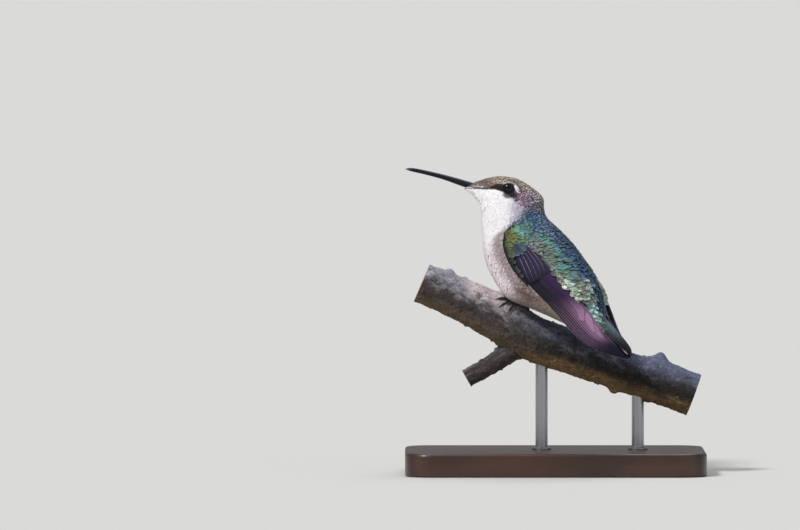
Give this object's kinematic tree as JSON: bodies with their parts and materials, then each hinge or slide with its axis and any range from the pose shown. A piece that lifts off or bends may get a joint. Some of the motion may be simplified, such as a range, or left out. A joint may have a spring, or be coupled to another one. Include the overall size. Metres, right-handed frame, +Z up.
{
  "type": "hummingbird model on a stand",
  "caption": "Still life-size hummingbird, wings folded, sitting on a short cut length of branch held over a flat base by slim rods.",
  "frame": {"origin": "middle of the base's underside, on the surface that the stand stands on", "axes": "+Z up, X along the branch and the long side of the base, with the bill pointing to -X and the bird's left side and tail toward -Y"},
  "size_m": [0.078, 0.044, 0.0793],
  "materials": {
    "plumage_crown": "soft feathers, brown with pale buff edges",
    "plumage_throat": "soft feathers, white to greyish buff",
    "plumage_back": "scaly feathers with a green to blue metallic gloss",
    "wing_coverts": "small feathers, olive and golden green with a metallic gloss",
    "flight_feathers": "stiff smooth feathers, blackish purple with a violet gloss",
    "tail_feathers": "stiff feathers, glossy green to blue-black, white at the outer tips",
    "bill_horn": "smooth black horn, semi-gloss",
    "eye": "wet gloss, almost black",
    "foot_skin": "fine dark scales, with glossy claws",
    "bark": "rough grey-brown bark",
    "base_wood": "dark hardwood, satin varnish",
    "rod_steel": "fine brushed"
  },
  "bodies": {
    "root": {"head": "plumage_crown", "neck": "plumage_throat", "trunk": "plumage_back", "tail": "tail_feathers", "bill_upper": "bill_horn", "bill_lower": "bill_horn", "eye_left": "eye", "eye_right": "eye", "wing_left": "wing_coverts", "wing_right": "wing_coverts", "wing_tip_left": "flight_feathers", "wing_tip_right": "flight_feathers", "leg_left": "foot_skin", "leg_right": "foot_skin", "foot_left": "foot_skin", "foot_right": "foot_skin", "perch": "bark", "stand_base": "base_wood", "stand_rod_left": "rod_steel", "stand_rod_right": "rod_steel"}
  },
  "joints": []
}
